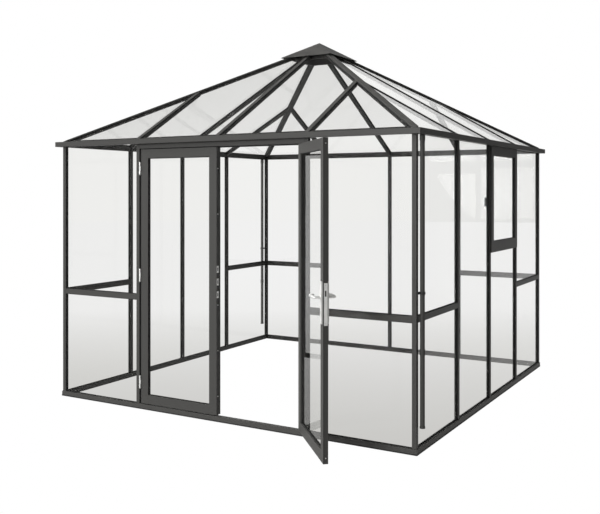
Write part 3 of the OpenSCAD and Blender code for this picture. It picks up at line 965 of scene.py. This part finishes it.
class GREENHOUSE_OT_frame_fixings(bpy.types.Operator):
    """Adds the sills' corner angles, dark strips of painted shade along their feet, and the screws of angles and
    rafters
    """
    bl_idname = "greenhouse.frame_fixings"
    bl_label = "Frame fixings"

    PLATE, THICK = 0.08, 0.0025     # length and thickness of a corner angle
    LIFT = 0.006                # an angle's lower edge, and its upper one from the sill's top
    ANGLE_EASE = 0.0006
    ANGLE_SCREWS = (0.35, 0.85)     # places along an angle
    ANGLE_SCREW, ANGLE_SCREW_DOWN = 0.0035, 0.016
    # a dark strip along the foot of each sill: painted shade standing for the shadow line under the sill's face
    SEAL_OUT, SEAL_IN, SEAL_TALL = 0.0012, 0.0003, 0.009
    SEAL_EASE = 0.0005          # also how far one strip ends before the next
    RAFTER_SCREW, RAFTER_SCREW_SIDE = 0.004, 0.024
    HALF_POST = 0.015

    def execute(self, context):
        low, high = from_middle("front_back_sills")
        sill = solid_boxes("front_back_sills")[0]
        inside = -low.y - (sill[1].y - sill[0].y)
        plates, heads = [], []
        for k in range(4):
            plates += [(bm, around(k)) for bm in self.angle_plate(inside, high.z)]
            for share in self.ANGLE_SCREWS:
                near, off = -inside + share * self.PLATE, -inside + self.THICK
                z = high.z - self.ANGLE_SCREW_DOWN
                heads += moved(around(k), [((near, off, z), (0, 1, 0)),
                                           ((off, near, z), (1, 0, 0))])
        add_joined("corner_angles", plates, "powder_coat", "house")
        add_screws("corner_screws", heads, "house", radius=self.ANGLE_SCREW)
        # painted shade: a dark strip round the foot of the sills
        add_joined("base_seals", [(self.base_seal(-low.y), around(k)) for k in range(4)],
                   "seal_rubber", "house")
        self.add_rafter_screws()
        return {"FINISHED"}

    def base_seal(self, half):
        """A dark rubber strip along the foot of a sill's outer face, painted shade that stands for the shadow line
        there.
        """
        out = -half - self.SEAL_OUT
        return block((out, out, 0), (half - self.SEAL_EASE, -half + self.SEAL_IN,
                                     self.SEAL_TALL), self.SEAL_EASE)

    def angle_plate(self, inside, top):
        """An angle of sheet in the corner, against the inner faces of two sills."""
        corner = (-inside, -inside, self.LIFT)
        return [block(corner, (x - inside, y - inside, top - self.LIFT), self.ANGLE_EASE)
                for x, y in ((self.PLATE, self.THICK), (self.THICK, self.PLATE))]

    def add_rafter_screws(self):
        """Two screws under the eave beam at the foot of each rafter."""
        under = from_middle("front_back_eave_beams")[0].z
        heads = []
        for low, high in solid_boxes("centre_rafters") + solid_boxes("jack_rafters"):
            for side in (-1, 1):
                x, y = self.foot_of(low, high, side * self.RAFTER_SCREW_SIDE)
                heads.append((Vector((x, y, under)), (0, 0, -1)))
        add_screws("rafter_screws", heads, "house", radius=self.RAFTER_SCREW)

    def foot_of(self, low, high, aside):
        """The outer end of a rafter in the plan, a little to one side of its middle."""
        mid = (low + high) / 2
        if high.x - low.x > high.y - low.y:
            end = high.x - self.HALF_POST if mid.x > MIDDLE.x else low.x + self.HALF_POST
            return end, mid.y + aside
        end = high.y - self.HALF_POST if mid.y > MIDDLE.y else low.y + self.HALF_POST
        return mid.x + aside, end


class GREENHOUSE_OT_door_furniture(bpy.types.Operator):
    """Adds the lever, lock cylinder, bolts, hinge caps, screws and seals of the doors"""
    bl_idname = "greenhouse.door_furniture"
    bl_label = "Door furniture"

    BAR = 0.0088                # radius of the lever's bar
    NECK, HOOK = 0.018, 0.018   # how far the bar runs inward at the spindle and the tip
    NECK_BEND, HOOK_BEND = 0.012, 0.01
    # turned shapes, as (radius, height)
    ROSE = ((0.0145, -0.001), (0.0145, 0.0015), (0.0125, 0.003), (0.0095, 0.003))
    CYLINDER = ((0.0088, -0.001), (0.0088, 0.0022), (0.008, 0.003))
    CAP = ((0.0062, -0.0005), (0.0062, 0.0015), (0.00496, 0.0032), (0.00217, 0.0042))
    KEY_DOWN = 0.085            # the key's cylinder under the spindle
    KEY_HALF, KEY_OUT, KEY_LOW, KEY_HIGH = 0.0009, 0.0034, 0.005, 0.004
    FACE_SCREWS = (0.02, 0.012)     # from the lower and upper ends of the lock's plates
    EDGE_SCREWS = (0.012, 0.02)
    LATCH_DOWN = 0.27           # the latch from the top of the edge plate, as a share
    INTO = 0.001                # how deep the latch, bolt and slots are set in
    LATCH, BOLT, STRIKE = (0.0045, 0.017), (0.0045, 0.018), (0.0055, 0.012)     # half sizes
    FLUSH, BOLT_OUT = 0.0004, 0.0012
    SLOT_EASE, BOLT_EASE = 0.0003, 0.0006
    LOCK_SCREW, STRIKE_SCREW, STRIKE_SCREW_OFF = 0.0032, 0.003, 0.018
    HINGE_NEAR = 0.02           # a hinge belongs to the door whose pin is as near as this
    # the screws along a leaf's edges, as shares of its height
    MEETING_SCREWS = {"left_leaf": (0.07, 0.24, 0.41, 0.75, 0.92),
                      "right_leaf": (0.018, 0.982)}
    HINGE_SCREWS, HINGE_SCREW_BACK = (0.03, 0.97), 0.004
    LEAF_SEAL, JAMB_SEAL, SEAL_BACK = 0.0018, 0.003, 0.004
    STOP_NEAR, STOP_FAR = 0.002, 0.007      # the header stop behind the leaves
    STOP_TALL, STOP_UP, STOP_EASE = 0.009, 0.0005, 0.0008

    def execute(self, context):
        self.add_lever()
        self.add_lock()
        self.add_hinge_caps()
        self.add_leaf_screws()
        self.add_door_seals()
        return {"FINISHED"}

    def add_lever(self):
        """A bent bar on each side of the leaf."""
        turn = leaf_turn()
        spindle = turn.inverted() @ Vector(JOINTS["door_lever"]["pos_m"])
        low, high = box_of(solid_boxes("lever_handle", turn.inverted()))
        tip = high.x - self.BAR
        sides = []
        for y_bar, way in ((low.y + self.BAR, 1), (high.y - self.BAR, -1)):
            neck = (spindle.x, spindle.y - way * self.NECK, spindle.z)
            elbow = (spindle.x, y_bar, spindle.z)
            shoulder = (tip, y_bar, spindle.z)
            hook = (tip, y_bar + way * self.HOOK, spindle.z)
            path = bend(neck, elbow, shoulder, self.NECK_BEND)[:-1] + bend(
                elbow, shoulder, hook, self.HOOK_BEND)[1:]
            sides.append((rod(path, self.BAR), turn))
        add_joined("bent_lever", sides, "satin_steel", "lever", "lever_handle")

    def add_lock(self):
        """Roses, key cylinders, latch, bolt and screws of the lock."""
        turn = leaf_turn()
        spindle = turn.inverted() @ Vector(JOINTS["door_lever"]["pos_m"])
        low, high = box_of(solid_boxes("right_leaf_lock", turn.inverted()))
        edge = closed_leaf()[0].x
        middle = (low.y + high.y) / 2
        key_z = spindle.z - self.KEY_DOWN
        latch_z = high.z - self.LATCH_DOWN * (high.z - low.z)
        steel, black, heads = [], [], []
        for y, way in ((low.y, -1), (high.y, 1)):
            face = Matrix.Rotation(-way * math.pi / 2, 4, "X")
            for z, profile, sides in ((spindle.z, self.ROSE, 32), (key_z, self.CYLINDER, 28)):
                place = Matrix.Translation((spindle.x, y, z)) @ face
                steel.append((turned(profile, sides), turn @ place))
            near, far = sorted((y, y + way * self.KEY_OUT))
            black.append((block((spindle.x - self.KEY_HALF, near, key_z - self.KEY_LOW),
                                (spindle.x + self.KEY_HALF, far, key_z + self.KEY_HIGH)),
                          turn))
            for z in (low.z + self.FACE_SCREWS[0], high.z - self.FACE_SCREWS[1]):
                heads.append(((spindle.x, y, z), (0, way, 0)))
        black.append((self.set_in((edge - self.FLUSH, edge + self.INTO), middle, latch_z,
                                  self.LATCH, self.SLOT_EASE), turn))
        steel.append((self.set_in((edge - self.BOLT_OUT, edge + self.INTO), middle, key_z,
                                  self.BOLT, self.BOLT_EASE), turn))
        for z in (low.z + self.EDGE_SCREWS[0], high.z - self.EDGE_SCREWS[1]):
            heads.append(((edge, middle, z), (-1, 0, 0)))
        add_joined("lock_bolts", steel, "satin_steel", "right_leaf")
        add_joined("lock_slots", black, "black_plastic", "right_leaf")
        add_screws("lock_screws", moved(turn, heads), "right_leaf", radius=self.LOCK_SCREW)
        self.add_strikes(middle)

    def set_in(self, across, middle, z, half, ease):
        """A block set in a leaf's edge: its X from and to, its centre and its half sizes."""
        wide, tall = half
        return block((across[0], middle - wide, z - tall),
                     (across[1], middle + wide, z + tall), ease)

    def add_strikes(self, middle):
        """The slots and screws of the strikes in the left leaf's edge."""
        slots, heads = [], []
        for low, high in solid_boxes("left_leaf_strikes"):
            z = (low.z + high.z) / 2
            slots.append((self.set_in((high.x - self.INTO, high.x + self.FLUSH), middle, z,
                                      self.STRIKE, self.SLOT_EASE), Matrix()))
            for way in (-1, 1):
                heads.append(((high.x, middle, z + way * self.STRIKE_SCREW_OFF), (1, 0, 0)))
        add_joined("strike_slots", slots, "black_plastic", "left_leaf")
        add_screws("strike_screws", heads, "left_leaf", radius=self.STRIKE_SCREW)

    def add_hinge_caps(self):
        """A small dome on both ends of each hinge pin."""
        caps = []
        for joint in ("left_door", "right_door"):
            x, y, _ = JOINTS[joint]["pos_m"]
            for low, high in solid_boxes("jamb_hinges"):
                if low.x - self.HINGE_NEAR < x < high.x + self.HINGE_NEAR:
                    caps.append((turned(self.CAP), Matrix.Translation((x, y, high.z))))
                    flip = Matrix.Rotation(math.pi, 4, "X")
                    caps.append((turned(self.CAP), Matrix.Translation((x, y, low.z)) @ flip))
        add_joined("hinge_caps", caps, "satin_steel", "house")

    def add_leaf_screws(self):
        """Screws along the meeting edge and the hinge edge of each leaf."""
        low, high = closed_leaf()
        middle = (low.y + high.y) / 2
        tall = high.z - low.z
        for body, matrix in leaf_sides().items():
            heads = [((low.x, middle, low.z + share * tall), (-1, 0, 0))
                     for share in self.MEETING_SCREWS[body]]
            heads += [((high.x, middle + self.HINGE_SCREW_BACK, low.z + share * tall),
                       (1, 0, 0)) for share in self.HINGE_SCREWS]
            add_screws(body + "_screws", moved(matrix, heads), body)

    def add_door_seals(self):
        """Seals round the leaves and up the jambs, and the stop under the header."""
        low, high = closed_leaf()
        inset = self.LEAF_SEAL * 0.5
        y = high.y - self.SEAL_BACK
        corners = [Vector((x, y, z)) for x, z in (
            (low.x + inset, low.z + inset), (high.x - inset, low.z + inset),
            (high.x - inset, high.z - inset), (low.x + inset, high.z - inset))]
        for body, matrix in leaf_sides().items():
            add_beads(body + "_edge_seal", [[matrix @ c for c in corners]], body,
                      radius=self.LEAF_SEAL)
        jambs = []
        for foot, head in solid_boxes("door_jambs"):
            x = (foot.x + head.x) / 2
            jambs.append([Vector((x, foot.y, foot.z + self.SEAL_BACK)),
                          Vector((x, foot.y, head.z - self.SEAL_BACK))])
        add_beads("jamb_seals", jambs, "house", radius=self.JAMB_SEAL, closed=False)
        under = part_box("door_header")[0].z
        reach = high.x + self.SEAL_BACK
        stop = block((-reach, high.y + self.STOP_NEAR, under - self.STOP_TALL),
                     (reach, high.y + self.STOP_FAR, under + self.STOP_UP), self.STOP_EASE)
        add_joined("header_stop", [(stop, Matrix())], "seal_rubber", "house")


class GREENHOUSE_OT_window_fittings(bpy.types.Operator):
    """Adds the hinges and the hinge strip over the window sash"""
    bl_idname = "greenhouse.window_fittings"
    bl_label = "Window fittings"

    PLACES = (0.25, 0.75)       # of the hinges, as shares of the sash
    BACK = 0.004                # a hinge's leaf behind the face of the sash
    LEAF_HALF, LEAF_FROM, LEAF_TO = 0.03, (0.004, 0.012), (0.0035, 0.008)
    BARREL = ((0.0045, 0), (0.005, 0.001), (0.005, 0.059), (0.0045, 0.06))
    BARREL_OUT, BARREL_UP = 0.001, 0.002
    STRIP_FROM, STRIP_TO = 0.012, 0.006     # the strip behind the face of the sash
    STRIP_END, STRIP_DOWN, STRIP_UP = 0.003, 0.005, 0.0005
    LEAF_EASE, STRIP_EASE = 0.0012, 0.0008

    def execute(self, context):
        low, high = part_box("window_sash")
        x = high.x - self.BACK
        leaves = []
        for share in self.PLACES:
            y = low.y + share * (high.y - low.y)
            leaves.append((block((x - self.LEAF_FROM[0], y - self.LEAF_HALF,
                                  high.z - self.LEAF_FROM[1]),
                                 (x + self.LEAF_TO[0], y + self.LEAF_HALF,
                                  high.z + self.LEAF_TO[1]), self.LEAF_EASE), Matrix()))
            barrel = Matrix.Translation((x + self.BARREL_OUT, y - self.LEAF_HALF,
                                         high.z + self.BARREL_UP))
            leaves.append((turned(self.BARREL, 20),
                           barrel @ Matrix.Rotation(-math.pi / 2, 4, "X")))
        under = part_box("side_eave_beams")[0].z
        leaves.append((block((high.x - self.STRIP_FROM, low.y + self.STRIP_END,
                              high.z - self.STRIP_DOWN),
                             (high.x - self.STRIP_TO, high.y - self.STRIP_END,
                              under + self.STRIP_UP), self.STRIP_EASE), Matrix()))
        add_joined("window_hinges", leaves, "black_plastic", "house")
        return {"FINISHED"}


class GREENHOUSE_OT_studio(bpy.types.Operator):
    """Lays the pale floor and sets the lights and the camera"""
    bl_idname = "greenhouse.studio"
    bl_label = "Studio"

    # Painted shade: the floor is darker near the greenhouse than far off, as the panes mirror it and in bounced
    # light; the camera sees it plain white.
    FLOOR_NEAR, FLOOR_FAR = (0.60, 0.595, 0.58), (0.9, 0.9, 0.9)    # as the panes mirror it
    FLOOR_RAMP = (-0.9, 5.5)    # metres ahead, from near to far
    FLOOR_SOFT = 0.2            # its share in light that has met a matt surface
    # how light from the air changes with where it comes from: direction, then strength
    SIDE = (-0.7, 0.5, 1.0, 0.06)       # soft light, across
    AHEAD = (-0.35, 0.3, 1.0, 0.1)      # mirrored light, across
    ABOVE = (0.3, 0.6, 1.0)             # mirrored light, upward
    ZENITH = (0.1, 0.9, 1.0)            # soft light, upward
    BEHIND_GLASS = 0.9          # mirrored light that has come through a pane
    SUN_ANGLE, SUN_TILT, SUN_TURN = 20, 84, -12     # degrees

    def execute(self, context):
        s = settings().stage
        self.lay_floor(s)
        self.light(context.scene, s)
        self.set_camera(context.scene, s)
        return {"FINISHED"}

    def backdrop(self, tree, kind, colour, strength, rays):
        """Plain white to the camera, and the given colour and strength to all else."""
        lit = node(tree, kind, {"Color": colour, "Strength": strength})
        seen = node(tree, kind, {"Color": (1, 1, 1, 1), "Strength": 1.0})
        return node(tree, "ShaderNodeMixShader",
                    {0: rays.outputs["Is Camera Ray"], 1: lit.outputs[0],
                     2: seen.outputs[0]}).outputs[0]

    def lay_floor(self, s):
        """A wide thin disc under the greenhouse, with painted shade near the greenhouse in all but what the camera
        sees.
        """
        bm = turned([(s.floor, -0.002), (s.floor, 0.0)], 64)
        floor = bpy.data.objects.new("floor", body_mesh(bm, "floor"))
        bpy.context.scene.collection.objects.link(floor)
        made, tree, _ = blank_material("studio_floor")
        away = node(tree, "ShaderNodeVectorMath",
                    {0: object_place(tree),
                     1: (-math.sin(s.heading), math.cos(s.heading), 0)},
                    operation="DOT_PRODUCT")
        # painted shade of the greenhouse on the floor, darker near it
        colour = two_tone(tree, ranged(tree, away.outputs["Value"], *self.FLOOR_RAMP),
                          self.FLOOR_NEAR, self.FLOOR_FAR)
        rays = node(tree, "ShaderNodeLightPath")
        power = ranged(tree, rays.outputs["Diffuse Depth"], 0.0, 1.0, 1.0, self.FLOOR_SOFT)
        shine = self.backdrop(tree, "ShaderNodeEmission", colour, power, rays)
        link(tree, tree.nodes["Material Output"], {"Surface": shine})
        floor.data.materials.append(made)

    def light(self, scene, s):
        """Air that is bright from the left and above, and a soft sun."""
        world = bpy.data.worlds.new("studio_air")
        scene.world = world
        world.use_nodes = True
        tree = world.node_tree
        tree.nodes.clear()
        place = node(tree, "ShaderNodeTexCoord")
        way = node(tree, "ShaderNodeSeparateXYZ", {0: place.outputs["Generated"]}).outputs
        rays = node(tree, "ShaderNodeLightPath")
        through = rays.outputs["Is Transmission Ray"]
        ahead = number_mix(tree, through, ranged(tree, way["X"], *self.AHEAD),
                           self.BEHIND_GLASS)
        above = ranged(tree, way["Z"], *self.ABOVE, s.overhead)
        mirrored = calc(tree, "MULTIPLY", ahead, above)
        indoors = ranged(tree, through, 0.0, 1.0, 1.0, s.indoors)
        dimmed = calc(tree, "MULTIPLY", ranged(tree, way["X"], *self.SIDE), indoors)
        soft = calc(tree, "MULTIPLY", dimmed, ranged(tree, way["Z"], *self.ZENITH, s.skylight))
        direct = calc(tree, "LESS_THAN", rays.outputs["Diffuse Depth"], 0.5)
        power = number_mix(tree, direct, soft, mirrored)
        out = node(tree, "ShaderNodeOutputWorld")
        link(tree, out, {"Surface": self.backdrop(tree, "ShaderNodeBackground",
                                                  (1, 1, 0.99, 1), power, rays)})
        lamp = bpy.data.lights.new("key", "SUN")
        lamp.energy = s.key
        lamp.angle = math.radians(self.SUN_ANGLE)
        key = bpy.data.objects.new("key", lamp)
        key.rotation_euler = (math.radians(self.SUN_TILT), 0, math.radians(self.SUN_TURN))
        scene.collection.objects.link(key)
        scene.view_settings.view_transform = "Standard"

    def set_camera(self, scene, s):
        """The camera at eye height, held level."""
        data = bpy.data.cameras.new("camera")
        data.lens = s.lens
        data.sensor_width = 36
        data.shift_y = s.rise
        camera = bpy.data.objects.new("camera", data)
        camera.location = s.eye
        camera.rotation_euler = (math.pi / 2, 0, s.heading)
        scene.collection.objects.link(camera)
        scene.camera = camera


class GREENHOUSE_PT_panel(bpy.types.Panel):
    """Lists the greenhouse's pieces and settings"""
    bl_idname = "GREENHOUSE_PT_panel"
    bl_label = "Greenhouse"
    bl_space_type = "VIEW_3D"
    bl_region_type = "UI"
    bl_category = "Greenhouse"

    def draw(self, context):
        for piece in PIECES:
            self.layout.operator(piece.bl_idname)
        for group in ("coat", "glass", "fittings", "stage"):
            box = self.layout.box()
            held = getattr(settings(), group)
            for name in held.__annotations__:
                box.prop(held, name)


PIECES = (
    GREENHOUSE_OT_coated_profiles,
    GREENHOUSE_OT_glazing_seals,
    GREENHOUSE_OT_gutter_fittings,
    GREENHOUSE_OT_frame_fixings,
    GREENHOUSE_OT_door_furniture,
    GREENHOUSE_OT_window_fittings,
    GREENHOUSE_OT_studio,
)
CLASSES = (CoatSettings, GlassSettings, FittingSettings, StageSettings, GreenhouseSettings,
           *PIECES, GREENHOUSE_PT_panel)


def register():
    """Registers the settings, the operators and the panel."""
    for cls in CLASSES:
        bpy.utils.register_class(cls)
    bpy.types.Scene.greenhouse = PointerProperty(type=GreenhouseSettings)


def unregister():
    """Takes them away again."""
    del bpy.types.Scene.greenhouse
    for cls in reversed(CLASSES):
        bpy.utils.unregister_class(cls)


def main():
    """Makes every piece and the stage."""
    register()
    for piece in PIECES:
        group, name = piece.bl_idname.split(".")
        getattr(getattr(bpy.ops, group), name)()


if __name__ == "__main__":
    main()
